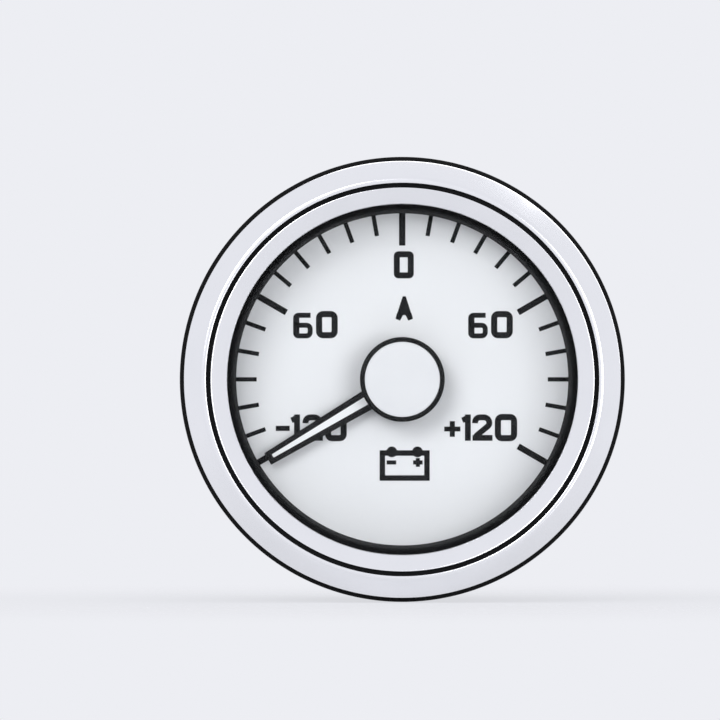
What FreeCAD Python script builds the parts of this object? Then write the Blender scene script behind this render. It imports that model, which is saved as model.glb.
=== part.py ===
# Centre-zero panel ammeter in a round 52 mm instrument case, with a strap clamp behind the panel.
# Millimetres. The dial stands upright and faces -Y, +X is to the right of someone who reads it, +Z is up.
# The origin is on the meter's axis, in the plane of the panel's front face, where the rubber seal bears.
import FreeCAD, Part
import math
import os

Vector = FreeCAD.Vector
axis_y = Vector(0, 1, 0)
axis_z = Vector(0, 0, 1)

# Case
barrel_r = 26.0
case_wall = 1.5
case_depth = 42.0
back_wall = 2.0
back_rounding = 1.5
flange_t = 1.2
flange_reach = 2.8
neck_step = 0.5
pad_height = 0.6

# Bezel ring, seal and glass
bezel_t = 0.7
rim_gap = 0.2
opening_cover = 2.2
groove_inset = 2.55
groove_width = 0.58
groove_depth = 0.75
crest_rise = 1.9
crest_land = 0.75
inner_crest_drop = 0.3
shoulder_height = 2.0
seal_proud = 0.6
seal_t = 1.2
gasket_t = 0.8
lens_inset = 1.2
lens_t = 2.0

# Dial, print and the black ring round it
dial_depth = 2.0
dial_t = 0.8
ring_show = 1.31
ring_draft = 0.4
slide_in = 0.15
print_t = 0.05
scale_span_deg = 240.0
scale_steps = 24
major_every = 6
minor_length = 2.6
minor_width = 0.58
major_length = 4.2
major_width = 0.85
print_gap = 0.04

# Pointer and hub cap
tip_gap = 0.89
pointer_root_width = 2.52
pointer_tip_width = 1.84
pointer_t = 0.5
pointer_edge = 0.62
inlay_depth = 0.15
pointer_gap = 1.4
pointer_eye_r = 3.6
cap_r = 5.77
cap_rim = 0.65
cap_height = 2.9
cap_recess = 0.5
cap_disc_t = 0.4
cap_chamfer = 0.3

# Turning parts of the movement
spindle_r = 0.6
bearing_gap = 0.05
end_gap = 0.2
hub_r = 1.8
hub_bore_gap = 0.8
dog_reach = 4.4
dog_width = 1.4
dog_gap = 0.15
stop_hole_r = 5.0
rotor_r = 5.0
rotor_t = 3.6
rotor_gap = 0.5
rotor_side_gap = 0.4

# Windings and their bobbin
core_half = 6.4
core_half_height = 4.5
coil_t = 1.5
coil_width = 4.2
coil_split = 1.2
coil_gap = 0.1
coil_rounding = 1.2
post_inner = 5.6
post_outer = 8.0
boss_half = 1.1
pin_r = 0.4
pin_offset = 6.6
pin_tail = 0.9
pin_depth = 3.0
shield_t = 0.8
shield_gap = 0.15
shield_hole_r = 1.8
return_magnet_size = (4.0, 4.0, 2.4)

# Light carrier and circuit board
carrier_t = 1.6
carrier_wall = 1.55
board_t = 1.6
chip_size = (9.9, 2.0, 4.0)
chip_leads = 8
chip_pitch = 1.27
chip_place = (0.0, 4.0)
resistor_r = 1.25
resistor_length = 6.3
resistor_lead_r = 0.35
resistor_lead_span = 10.0
resistor_places = ((-12.0, -1.5), (-8.5, -1.5), (8.5, -1.5), (12.0, -1.5))
capacitor_r = 3.1
capacitor_height = 7.0
capacitor_inset = 7.35

# Terminals
stud_r = 2.0
stud_pitch_r = 1.8
stud_shoulder_r = 2.2
stud_shoulder_gap = 0.1
stud_free = 9.4
stud_chamfer = 0.5
stud_place = (9.0, 13.5)
stud_head_flats = 6.2
stud_head_t = 1.8
pillar_wall = 1.9
pad_margin = 1.0
nut_flats = 7.0
nut_t = 3.2
washer_r = 4.5
washer_t = 0.8
washer_gap = 0.15
blade_width = 6.3
blade_t = 0.8
blade_free = 8.0
blade_taper = 0.9
blade_hole_r = 0.9
blade_hole_inset = 3.2
blade_place = (13.0, -12.0)
blade_slot_gap = 0.2
collar_wall = 1.2
collar_height = 1.5

# Lamp holder, a quarter-turn fitting
lamp_z = -15.0
lamp_neck_r = 4.9
lamp_bore_gap = 0.08
lamp_neck_length = 9.0
lamp_lug_r = 6.2
lamp_lug_width = 2.2
lamp_lug_t = 1.4
lamp_slot_gap = 0.3
lamp_turn_deg = 40.0
lamp_seat_gap = 0.15
lamp_flange_r = 6.3
lamp_flange_t = 1.2
lamp_grip_width = 9.6
lamp_grip_t = 2.8
lamp_grip_height = 5.0
lamp_window_r = 5.6
bulb_r = 2.5
bulb_socket_depth = 5.0
bulb_reach = 8.0

# Strap clamp
clamp_x = 17.0
clamp_stud_free = 20.0
clamp_stud_anchor_r = 2.8
clamp_stud_anchor_t = 2.0
clamp_boss_wall = 1.4
clamp_boss_length = 7.0
panel_room = 8.0
clamp_clearance = 1.3
clamp_t = 1.5
clamp_width = 14.0
clamp_bend_r = 2.0
clamp_web_back = 7.5
clamp_hole_gap = 0.3
foot_teeth = 5
foot_tooth_depth = 0.8
thumb_r = 5.5
thumb_length = 6.0
thumb_teeth = 24
thumb_tooth_depth = 0.45
thumb_chamfer = 0.7
thumb_seat_gap = 0.05
thumb_bore_gap = 0.05
clamp_washer_r = 5.0

# Radii that follow from the barrel outwards and inwards
bore_r = barrel_r - case_wall
insert_r = bore_r - slide_in
flange_r = barrel_r + flange_reach
bezel_r = flange_r + rim_gap + bezel_t
seal_r = bezel_r + seal_proud
lens_r = flange_r - lens_inset
opening_r = barrel_r - opening_cover
groove_r = opening_r + groove_inset
ring_r = opening_r - ring_show
pointer_reach = ring_r - tip_gap

# Places along the axis that follow from the stack of pieces
seal_front = -seal_t
lip_front = seal_front - bezel_t
flange_front = lip_front - flange_t
gasket_front = flange_front - gasket_t
lens_front = gasket_front - lens_t
bezel_front = lens_front - bezel_t
crest_front = bezel_front - crest_rise
dial_front = dial_depth
dial_back = dial_front + dial_t
pointer_back = dial_front - pointer_gap
pointer_front = pointer_back - pointer_t
cap_front = pointer_front - cap_height
carrier_plate_back = dial_back + carrier_t
shield_floor_back = carrier_plate_back + shield_t
coil_outer_half = core_half_height + 2 * coil_gap + 2 * coil_t
rotor_y = shield_floor_back + shield_gap + coil_outer_half
board_front = rotor_y + coil_outer_half + coil_t
board_back = board_front + board_t
wall_front = case_depth - back_wall
pad_back = case_depth + pad_height
washer_back = pad_back + washer_t
nut_back = washer_back + nut_t
stud_end = nut_back + stud_free
shield_r = math.hypot(post_outer, post_outer) + shield_gap
web_front = case_depth + clamp_web_back
web_back = web_front + clamp_t
clamp_washer_back = web_back + washer_t
clamp_stud_end = case_depth + clamp_stud_free


def rod(radius, start, end, x=0.0, z=0.0):
    """Round bar along the axis from start to end."""
    return Part.makeCylinder(radius, end - start, Vector(x, start, z), axis_y)


def tube(inner, outer, start, end, x=0.0, z=0.0):
    """Plain ring with flat ends."""
    return rod(outer, start, end, x, z).cut(rod(inner, start - 1, end + 1, x, z))


def block(x, y, z):
    """Box between three pairs of limits."""
    size = [high - low for low, high in (x, y, z)]
    return Part.makeBox(size[0], size[1], size[2], Vector(x[0], y[0], z[0]))


def outline(corners):
    """Closed face in the XY plane through the corners (x, y, rounding), each rounded by a tangent arc."""
    points = [Vector(x, y, 0) for x, y, _ in corners]
    stretches = []
    for i, (_, _, rounding) in enumerate(corners):
        point = points[i]
        to_last = (points[i - 1] - point).normalize()
        to_next = (points[(i + 1) % len(points)] - point).normalize()
        if rounding <= 0:
            stretches.append((point, None, point))
            continue
        half = to_last.getAngle(to_next) / 2
        cut = rounding / math.tan(half)
        middle = (to_last + to_next).normalize()
        centre = point + middle * (rounding / math.sin(half))
        stretches.append((point + to_last * cut, centre - middle * rounding, point + to_next * cut))
    edges = []
    for i, (start, through, end) in enumerate(stretches):
        if through is not None:
            edges.append(Part.Arc(start, through, end).toShape())
        following = stretches[(i + 1) % len(stretches)][0]
        if end.distanceToPoint(following) > 1e-6:
            edges.append(Part.LineSegment(end, following).toShape())
    return Part.Face(Part.Wire(edges))


def turned(corners):
    """Solid of revolution about the axis from a profile of (radius, place along the axis, rounding)."""
    return outline(corners).revolve(Vector(0, 0, 0), axis_y, 360)


def hexagon(flats, start, end, x, z):
    """Hexagonal bar along the axis with the given width across its flats, a flat on each side in X."""
    reach = flats / math.sqrt(3)
    angles = [math.radians(60 * i + 30) for i in range(7)]
    points = [Vector(x + reach * math.cos(a), start, z + reach * math.sin(a)) for a in angles]
    return Part.Face(Part.makePolygon(points)).extrude(Vector(0, end - start, 0))


def turn_about_axis(shape, degrees):
    """Turns a shape clockwise as the reader of the dial sees it."""
    copy = shape.copy()
    copy.rotate(Vector(0, 0, 0), axis_y, degrees)
    return copy


def both_sides(make):
    """The same piece on the left and on the right, as separate solids in one node."""
    return Part.makeCompound([make(-1), make(1)])


def make_bezel():
    """Metal ring: rolled lip behind the flange, rim, outer slope, grooved crest and inner slope to the opening."""
    groove_in = groove_r - groove_width / 2
    groove_out = groove_r + groove_width / 2
    rim_inner = bezel_r - bezel_t
    hollow = crest_front + groove_depth + bezel_t
    return turned([
        (opening_r, lens_front, 0),
        (opening_r, bezel_front, 0.3),
        (groove_in, crest_front + inner_crest_drop, 0.15),
        (groove_in, crest_front + groove_depth, 0),
        (groove_out, crest_front + groove_depth, 0),
        (groove_out, crest_front, 0.15),
        (groove_out + crest_land, crest_front, 0.6),
        (bezel_r, seal_front - shoulder_height, 1.6),
        (bezel_r, seal_front, 0.4),
        (neck_r() + slide_in, seal_front, 0),
        (neck_r() + slide_in, lip_front, 0),
        (rim_inner, lip_front, 0),
        (rim_inner, lip_front - flange_t, 0),
        (groove_out + crest_land, hollow, 0.4),
        (groove_in - 0.2, hollow, 0.3),
        (opening_r + 1.1, lens_front, 0),
    ])


def neck_r():
    """Radius of the case's neck where it meets the flange."""
    return barrel_r + neck_step


def make_panel_seal():
    """Rubber ring between the bezel's rolled lip and the panel."""
    return turned([
        (neck_r() + slide_in, seal_front, 0),
        (seal_r, seal_front, 0.35),
        (seal_r, 0, 0.35),
        (neck_r() + slide_in, 0, 0),
    ])


def make_lens():
    """Flat glass with a ground edge."""
    return turned([
        (0, lens_front, 0),
        (lens_r - 0.3, lens_front, 0),
        (lens_r, lens_front + 0.3, 0),
        (lens_r, gasket_front - 0.3, 0),
        (lens_r - 0.3, gasket_front, 0),
        (0, gasket_front, 0),
    ])


def make_dial_ring():
    """Spacer between glass and dial. Its bore opens a little towards the reader."""
    return turned([
        (ring_r + ring_draft, gasket_front, 0.3),
        (insert_r, gasket_front, 0),
        (insert_r, dial_front, 0),
        (ring_r, dial_front, 0),
    ])


def make_dial():
    """Plate with a hole for the hub and a locating notch at its lowest point."""
    notch = block((-1.5, 1.5), (dial_front - 1, dial_back + 1), (-insert_r - 1, -insert_r + 0.9))
    return tube(hub_r + hub_bore_gap, insert_r, dial_front, dial_back).cut(notch)


def make_scale_marks():
    """One raised printed tick for each ten amperes. Every sixth, with both ends and the zero, is longer and wider."""
    marks = []
    for step in range(scale_steps + 1):
        major = step % major_every == 0
        length = major_length if major else minor_length
        width = major_width if major else minor_width
        outer = ring_r - print_gap
        tick = block((-width / 2, width / 2), (dial_front - print_t, dial_front), (outer - length, outer))
        marks.append(turn_about_axis(tick, scale_span_deg * (step / scale_steps - 0.5)))
    return Part.makeCompound(marks)


def blade_outline(edge, start, end, place, thickness):
    """Tapered strip up the dial. Edge is how far its outline lies inside the pointer's, tip and sides alike."""
    taper = (pointer_root_width - pointer_tip_width) / (pointer_reach - cap_r)
    half_start = (pointer_root_width - (start - cap_r) * taper) / 2 - edge
    half_end = (pointer_root_width - (end - cap_r) * taper) / 2 - edge
    points = [(-half_start, start), (half_start, start), (half_end, end), (-half_end, end)]
    wire = Part.makePolygon([Vector(x, place, z) for x, z in points + points[:1]])
    return Part.Face(wire).extrude(Vector(0, thickness, 0))


def make_pointer():
    """Black blade on an eye round the hub, with a shallow bed for its inlay. It lies at the low end of the scale."""
    blade = blade_outline(0, hub_r + 0.5, pointer_reach, pointer_front, pointer_t)
    eye = rod(pointer_eye_r, pointer_front, pointer_back)
    bed = blade_outline(pointer_edge, cap_r - 1.2, pointer_reach - pointer_edge, pointer_front - 1, 1 + inlay_depth)
    pointer = blade.fuse(eye).cut([rod(hub_r, pointer_front - 1, pointer_back + 1), bed])
    return turn_about_axis(pointer.removeSplitter(), -scale_span_deg / 2)


def make_pointer_inlay():
    """White strip in the blade's bed."""
    strip = blade_outline(pointer_edge, cap_r - 1.2, pointer_reach - pointer_edge, pointer_front, inlay_depth)
    return turn_about_axis(strip, -scale_span_deg / 2)


def make_hub_cap():
    """Turned cap over the hub, with a bed for its disc."""
    bed_r = cap_r - cap_rim
    return turned([
        (0, cap_front + cap_recess, 0),
        (bed_r, cap_front + cap_recess, 0),
        (bed_r, cap_front, 0),
        (cap_r - cap_chamfer, cap_front, 0),
        (cap_r, cap_front + cap_chamfer, 0),
        (cap_r, pointer_front, 0),
        (hub_r, pointer_front, 0),
        (hub_r, hub_front(), 0),
        (0, hub_front(), 0),
    ])


def hub_front():
    """Front end of the hub, inside the cap."""
    return pointer_front - cap_height / 2


def make_cap_disc():
    """Pale disc in the cap, a little lower than its rim."""
    front = cap_front + cap_recess - cap_disc_t
    return rod(cap_r - cap_rim, front, cap_front + cap_recess)


def dog_bar(half_width, reach, start, end):
    """Bar from the axis up the dial, used for the dog and for the room it needs."""
    return block((-half_width, half_width), (start, end), (0, reach))


def make_pointer_hub():
    """Bush pressed on the spindle. Its dog, under the dial, stops the pointer at both ends of the scale."""
    end = carrier_plate_back - end_gap
    dog = dog_bar(dog_width / 2, dog_reach, dial_back + end_gap, end)
    hub = rod(hub_r, hub_front(), end).fuse(dog)
    hub = hub.cut(rod(spindle_r, hub_front() + 0.6, end + 1)).removeSplitter()
    return turn_about_axis(hub, -scale_span_deg / 2)


def spindle_end():
    """Back end of the spindle, in its blind bearing."""
    return board_front - coil_t - end_gap


def make_spindle():
    """Steel spindle with a coned end."""
    end = spindle_end()
    return turned([
        (0, hub_front() + 0.6, 0),
        (spindle_r, hub_front() + 0.6, 0),
        (spindle_r, end - spindle_r, 0),
        (0.15, end, 0),
        (0, end, 0),
    ])


def make_rotor_magnet():
    """Disc magnet on the spindle."""
    return tube(spindle_r, rotor_r, rotor_y - rotor_t / 2, rotor_y + rotor_t / 2)


def corner_posts(start, end):
    """Four posts between the windings, rounded to the inside of the shield."""
    posts = []
    for side_x in (-1, 1):
        for side_z in (-1, 1):
            x = sorted((side_x * post_inner, side_x * post_outer))
            z = sorted((side_z * post_inner, side_z * post_outer))
            posts.append(block(x, (start, end), z))
    round_bar = rod(shield_r - shield_gap, start, end)
    return [post.common(round_bar) for post in posts]


def make_bobbin(start, end, half_start, half_end, boss_start, boss_end, bearing_end):
    """One half of the bobbin: core with half of the rotor's room, four posts and a bearing boss."""
    core = block((-core_half, core_half), (half_start, half_end), (-core_half, core_half))
    boss = block((-boss_half, boss_half), (boss_start, boss_end), (-boss_half, boss_half))
    room = rod(rotor_r + rotor_gap, rotor_y - rotor_t / 2 - rotor_side_gap, rotor_y + rotor_t / 2 + rotor_side_gap)
    bearing = rod(spindle_r + bearing_gap, boss_start - 1, bearing_end)
    body = core.fuse([boss] + corner_posts(start, end))
    return body.cut([room, bearing]).removeSplitter()


def make_bobbin_front():
    """Front half, up to the shield's end wall, with its bearing boss through the shield."""
    core_start = rotor_y - core_half_height
    boss_start = carrier_plate_back + 0.1
    post_start = shield_floor_back + 0.05
    return make_bobbin(post_start, rotor_y, core_start, rotor_y, boss_start, core_start, rotor_y + 1)


def make_bobbin_rear():
    """Back half, standing on the circuit board, with a blind bearing and room for the solder pins."""
    core_end = rotor_y + core_half_height
    body = make_bobbin(rotor_y, board_front, rotor_y, core_end, core_end, board_front, spindle_end() + end_gap)
    bearing = rod(spindle_r + bearing_gap, rotor_y, spindle_end() + end_gap)
    return body.cut([bearing] + pin_bars())


def pin_bars():
    """Solder pins in the back ends of the bobbin's posts."""
    bars = []
    for x in (-pin_offset, pin_offset):
        for z in (-pin_offset, pin_offset):
            bars.append(rod(pin_r, board_front - pin_depth, board_back + pin_tail, x, z))
    return bars


def make_bobbin_pins():
    """The four solder pins."""
    return Part.makeCompound(pin_bars())


def winding(inner_half, inner_half_height, offset):
    """One half of a coil: a closed band in the plane of X and Y round the bobbin, offset in Z from the axis."""
    outer_half = inner_half + coil_t
    outer_height = inner_half_height + coil_t
    bands = []
    for half, height, rounding in ((outer_half, outer_height, coil_rounding), (inner_half, inner_half_height, 0)):
        corners = [(-half, -height), (half, -height), (half, height), (-half, height)]
        face = outline([(x, rotor_y + y, rounding) for x, y in corners])
        bands.append(face.extrude(Vector(0, 0, coil_width)))
    band = bands[0].cut(bands[1])
    band.translate(Vector(0, 0, offset))
    return band


def make_coil_outer():
    """Winding over both the bobbin and the inner coil, split to pass the spindle."""
    height = core_half_height + 2 * coil_gap + coil_t
    halves = [winding(core_half + coil_gap, height, z) for z in (coil_split, -coil_split - coil_width)]
    return Part.makeCompound(halves)


def make_coil_inner():
    """Winding at right angles to the other, directly on the bobbin."""
    halves = [winding(core_half + coil_gap, core_half_height + coil_gap, z) for z in (coil_split, -coil_split - coil_width)]
    return turn_about_axis(Part.makeCompound(halves), 90)


def make_movement_shield():
    """Drawn steel can, closed in front except for the spindle, standing on the circuit board."""
    outer = shield_r + shield_t
    can = turned([
        (shield_hole_r, carrier_plate_back, 0),
        (outer, carrier_plate_back, 0.8),
        (outer, board_front, 0),
        (shield_r, board_front, 0),
        (shield_r, shield_floor_back, 0),
        (shield_hole_r, shield_floor_back, 0),
    ])
    return can


def make_return_magnet():
    """Small magnet stuck inside the can, which pulls the pointer back to the low stop."""
    width, length, depth = return_magnet_size
    bar = block((-width / 2, width / 2), (rotor_y - length / 2, rotor_y + length / 2), (shield_r - depth, shield_r + 1))
    return bar.common(rod(shield_r, rotor_y - length, rotor_y + length))


def make_light_carrier():
    """White cup behind the dial. What is left of its centre hole between the ends of the scale is the fixed stop."""
    cup = turned([
        (0, dial_back, 0),
        (insert_r, dial_back, 0),
        (insert_r, board_front, 0),
        (insert_r - carrier_wall, board_front, 0),
        (insert_r - carrier_wall, carrier_plate_back, 0.8),
        (0, carrier_plate_back, 0),
    ])
    start = dial_back - 1
    end = carrier_plate_back + 1
    sweep = outline([(0, start, 0), (stop_hole_r, start, 0), (stop_hole_r, end, 0), (0, end, 0)])
    sweep = sweep.revolve(Vector(0, 0, 0), axis_y, scale_span_deg)
    rooms = [turn_about_axis(sweep, -90 - scale_span_deg / 2), rod(hub_r + hub_bore_gap, start, end)]
    for side in (-1, 1):
        bar = dog_bar(dog_width / 2 + dog_gap, stop_hole_r, start, end)
        rooms.append(turn_about_axis(bar, side * scale_span_deg / 2))
    return cup.cut(rooms).removeSplitter()


def make_circuit_board():
    """Round board that carries the movement. The studs clamp it to the case's pillars."""
    board = rod(insert_r, board_front, board_back)
    holes = [rod(lamp_window_r, board_front - 1, board_back + 1, 0, lamp_z)]
    for side in (-1, 1):
        holes.append(rod(stud_shoulder_r, board_front - 1, board_back + 1, side * stud_place[0], stud_place[1]))
        holes.append(blade_bar(side, 0, board_front - 1, board_back + 1))
    for x, z in resistor_places:
        for end in (-1, 1):
            holes.append(rod(resistor_lead_r, board_front - 1, board_back + 1, x, z + end * resistor_lead_span / 2))
    return board.cut(holes + pin_bars())


def make_driver_chip():
    """Flat chip on the back of the board, with its leads."""
    length, height, width = chip_size
    x, z = chip_place
    lift = 0.15
    body = block((x - length / 2, x + length / 2), (board_back + lift, board_back + height), (z - width / 2, z + width / 2))
    leads = []
    for i in range(chip_leads):
        lead_x = x + (i - (chip_leads - 1) / 2) * chip_pitch
        for side in (-1, 1):
            reach = sorted((z + side * (width / 2 - 0.2), z + side * (width / 2 + 1.0)))
            leads.append(block((lead_x - 0.2, lead_x + 0.2), (board_back, board_back + 0.9), reach))
    return body.fuse(leads)


def make_resistors():
    """Four resistors lying behind the board on their bent leads."""
    pieces = []
    lie = board_back + resistor_r + 0.1
    for x, z in resistor_places:
        body = Part.makeCylinder(resistor_r, resistor_length, Vector(x, lie, z - resistor_length / 2), axis_z)
        lead = Part.makeCylinder(resistor_lead_r, resistor_lead_span + 2 * resistor_lead_r,
                                 Vector(x, lie, z - resistor_lead_span / 2 - resistor_lead_r), axis_z)
        legs = [rod(resistor_lead_r, board_front, lie, x, z + end * resistor_lead_span / 2) for end in (-1, 1)]
        pieces.append(body.fuse([lead] + legs))
    return Part.makeCompound(pieces)


def make_capacitor():
    """Electrolytic can standing on the board."""
    z = insert_r - capacitor_inset
    start = board_back
    can = rod(capacitor_r, start, start + capacitor_height, 0, z)
    crimp = tube(capacitor_r - 0.25, capacitor_r + 1, start + 1.2, start + 1.8, 0, z)
    return can.cut(crimp)


def blade_bar(side, grow, start, end):
    """Room of a blade terminal between start and end, grown on all four sides."""
    x = side * blade_place[0]
    half_t = blade_t / 2 + grow
    half_width = blade_width / 2 + grow
    return block((x - half_t, x + half_t), (start, end), (blade_place[1] - half_width, blade_place[1] + half_width))


def make_blade_terminal(side):
    """Flat 6.3 mm tab soldered in the board, with a tapered end and a locking hole."""
    x = side * blade_place[0]
    z = blade_place[1]
    end = case_depth + blade_free
    half = blade_width / 2
    start = board_front - 0.8
    points = [
        (start, -half), (end - blade_taper * 1.5, -half), (end, -half + blade_taper),
        (end, half - blade_taper), (end - blade_taper * 1.5, half), (start, half),
    ]
    wire = Part.makePolygon([Vector(x - blade_t / 2, y, z + v) for y, v in points + points[:1]])
    tab = Part.Face(wire).extrude(Vector(blade_t, 0, 0))
    hole = Part.makeCylinder(blade_hole_r, 4, Vector(x - 2, end - blade_hole_inset, z), Vector(1, 0, 0))
    return tab.cut(hole)


def make_terminal_stud(side):
    """Stud with a head before the board. The stretch in its nut is drawn at the thread's middle radius."""
    x = side * stud_place[0]
    z = stud_place[1]
    head = hexagon(stud_head_flats, board_front - stud_head_t, board_front, x, z)
    shoulder = rod(stud_shoulder_r, board_front, case_depth, x, z)
    engaged = rod(stud_pitch_r, case_depth, nut_back, x, z)
    free = rod(stud_r, nut_back, stud_end - stud_chamfer, x, z)
    tip = Part.makeCone(stud_r, stud_r - stud_chamfer, stud_chamfer, Vector(x, stud_end - stud_chamfer, z), axis_y)
    return head.fuse([shoulder, engaged, free, tip]).removeSplitter()


def make_terminal_washer(side):
    """Flat washer on the case's pad."""
    return tube(stud_pitch_r + washer_gap, washer_r, pad_back, washer_back, side * stud_place[0], stud_place[1])


def make_terminal_nut(side):
    """Hexagon nut with turned corners."""
    x = side * stud_place[0]
    z = stud_place[1]
    nut = hexagon(nut_flats, washer_back, nut_back, x, z)
    corner_r = nut_flats / math.sqrt(3)
    edge = 0.55 * (corner_r - nut_flats / 2)
    barrel = rod(corner_r, washer_back, nut_back, x, z)
    barrel = barrel.makeChamfer(edge, [e for e in barrel.Edges if e.Closed and e.Curve.TypeId == "Part::GeomCircle"])
    return nut.common(barrel).cut(rod(stud_pitch_r, washer_back - 1, nut_back + 1, x, z))


def clamp_stud_bar(side):
    """Stud of the strap clamp, with the anchor moulded into the case."""
    x = side * clamp_x
    start = wall_front - clamp_boss_length + 1
    shank = rod(stud_r, start, clamp_stud_end - stud_chamfer, x)
    tip = Part.makeCone(stud_r, stud_r - stud_chamfer, stud_chamfer, Vector(x, clamp_stud_end - stud_chamfer, 0), axis_y)
    anchor = rod(clamp_stud_anchor_r, start, start + clamp_stud_anchor_t, x)
    return shank.fuse([tip, anchor]).removeSplitter()


def lamp_fitting(neck_r, lug_r, lug_width, start, end, turn_deg):
    """Round neck with two lugs, turned about the lamp's own axis. Used for the holder and for its hole."""
    neck = rod(neck_r, start, end, 0, lamp_z)
    bar = block((-lug_r, lug_r), (start, end), (lamp_z - lug_width / 2, lamp_z + lug_width / 2))
    lugs = bar.common(rod(lug_r, start, end, 0, lamp_z))
    lugs.rotate(Vector(0, 0, lamp_z), axis_y, turn_deg)
    return neck.fuse(lugs)


def make_case():
    """Moulded cup: flange, barrel and back wall, with pillars for the board, bosses, pads and terminal collars."""
    neck = neck_r()
    shell = turned([
        (bore_r, flange_front, 0),
        (flange_r, flange_front, 0.2),
        (flange_r, lip_front, 0.2),
        (neck, lip_front, 0),
        (barrel_r, 0, 0),
        (barrel_r, case_depth, back_rounding),
        (0, case_depth, 0),
        (0, wall_front, 0),
        (bore_r, wall_front, 0.8),
    ])
    added = []
    for side in (-1, 1):
        stud_x = side * stud_place[0]
        added.append(rod(stud_shoulder_r + pillar_wall, board_back, wall_front + 0.5, stud_x, stud_place[1]))
        added.append(rod(washer_r + pad_margin, case_depth - 0.5, pad_back, stud_x, stud_place[1]))
        added.append(rod(clamp_stud_anchor_r + clamp_boss_wall, wall_front - clamp_boss_length, case_depth - 0.5,
                         side * clamp_x))
        added.append(blade_bar(side, blade_slot_gap + collar_wall, case_depth - 0.5, case_depth + collar_height))
    holes = []
    for side in (-1, 1):
        holes.append(rod(stud_shoulder_r + stud_shoulder_gap, board_back - 1, pad_back + 1, side * stud_place[0],
                         stud_place[1]))
        holes.append(blade_bar(side, blade_slot_gap, wall_front - 1, case_depth + collar_height + 1))
        holes.append(clamp_stud_bar(side))
    lug_way = lamp_fitting(lamp_neck_r + lamp_bore_gap, lamp_lug_r + lamp_slot_gap, lamp_lug_width + 2 * lamp_slot_gap,
                           wall_front - 1, case_depth + 1, lamp_turn_deg)
    holes.append(lug_way)
    return shell.fuse(added).cut(holes).removeSplitter()


def make_lamp_holder():
    """Quarter-turn holder: neck with two lugs behind the wall, flange, and a finger grip. The bulb's socket is inside."""
    seat = case_depth + lamp_seat_gap
    inner_end = seat - lamp_neck_length
    lug_back = wall_front - lamp_seat_gap
    neck = rod(lamp_neck_r, inner_end, seat, 0, lamp_z)
    lugs = lamp_fitting(lamp_neck_r, lamp_lug_r, lamp_lug_width, lug_back - lamp_lug_t, lug_back, 0)
    flange_end = seat + lamp_flange_t
    flange = rod(lamp_flange_r, seat, flange_end, 0, lamp_z)
    half = lamp_grip_width / 2
    tab = outline([
        (-half, flange_end - 0.2, 0), (half, flange_end - 0.2, 0),
        (half - 0.6, flange_end + lamp_grip_height, 1.2), (-half + 0.6, flange_end + lamp_grip_height, 1.2),
    ]).extrude(Vector(0, 0, lamp_grip_t))
    tab.translate(Vector(0, 0, lamp_z - lamp_grip_t / 2))
    socket = rod(bulb_r, inner_end - 1, inner_end + bulb_socket_depth, 0, lamp_z)
    return neck.fuse([lugs, flange, tab]).cut(socket).removeSplitter()


def make_lamp_bulb():
    """Sealed glass bulb in the holder, with a domed end."""
    inner_end = case_depth + lamp_seat_gap - lamp_neck_length
    bulb = turned([
        (0, inner_end - bulb_reach, 0),
        (bulb_r, inner_end - bulb_reach, bulb_r * 0.96),
        (bulb_r, inner_end + bulb_socket_depth, 0),
        (0, inner_end + bulb_socket_depth, 0),
    ])
    bulb.translate(Vector(0, 0, lamp_z))
    return bulb


def make_clamp_bracket():
    """Bent steel strap: a web across the back with two holes, and two legs with toothed feet towards the panel."""
    leg_in = barrel_r + clamp_clearance
    leg_out = leg_in + clamp_t
    bend_out = clamp_bend_r + clamp_t
    strap = outline([
        (-leg_out, panel_room, 0), (-leg_in, panel_room, 0), (-leg_in, web_front, clamp_bend_r),
        (leg_in, web_front, clamp_bend_r), (leg_in, panel_room, 0), (leg_out, panel_room, 0),
        (leg_out, web_back, bend_out), (-leg_out, web_back, bend_out),
    ]).extrude(Vector(0, 0, clamp_width))
    strap.translate(Vector(0, 0, -clamp_width / 2))
    cuts = [rod(stud_r + clamp_hole_gap, web_front - 1, web_back + 1, side * clamp_x) for side in (-1, 1)]
    pitch = clamp_width / foot_teeth
    for i in range(1, foot_teeth):
        z = i * pitch - clamp_width / 2
        notch = Part.makePolygon([
            Vector(-leg_out - 1, panel_room - 0.1, z - pitch * 0.35), Vector(-leg_out - 1, panel_room + foot_tooth_depth, z),
            Vector(-leg_out - 1, panel_room - 0.1, z + pitch * 0.35), Vector(-leg_out - 1, panel_room - 0.1, z - pitch * 0.35),
        ])
        cuts.append(Part.Face(notch).extrude(Vector(2 * leg_out + 2, 0, 0)))
    return strap.cut(cuts)


def make_clamp_washer(side):
    """Washer between strap and thumb nut."""
    return tube(stud_r + washer_gap, clamp_washer_r, web_back, clamp_washer_back, side * clamp_x)


def make_thumb_nut(side):
    """Turned nut with straight knurling and chamfered ends."""
    start = clamp_washer_back + thumb_seat_gap
    end = start + thumb_length
    x = side * clamp_x
    points = []
    for i in range(2 * thumb_teeth):
        reach = thumb_r - (thumb_tooth_depth if i % 2 else 0)
        angle = math.pi * i / thumb_teeth
        points.append(Vector(x + reach * math.cos(angle), start, reach * math.sin(angle)))
    body = Part.Face(Part.makePolygon(points + points[:1])).extrude(Vector(0, thumb_length, 0))
    blank = Part.makeCone(thumb_r - thumb_chamfer, thumb_r, thumb_chamfer, Vector(x, start, 0), axis_y)
    blank = blank.fuse([
        rod(thumb_r, start + thumb_chamfer, end - thumb_chamfer, x),
        Part.makeCone(thumb_r, thumb_r - thumb_chamfer, thumb_chamfer, Vector(x, end - thumb_chamfer, 0), axis_y),
    ])
    return body.common(blank).cut(rod(stud_r + thumb_bore_gap, start - 1, end + 1, x))


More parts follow.
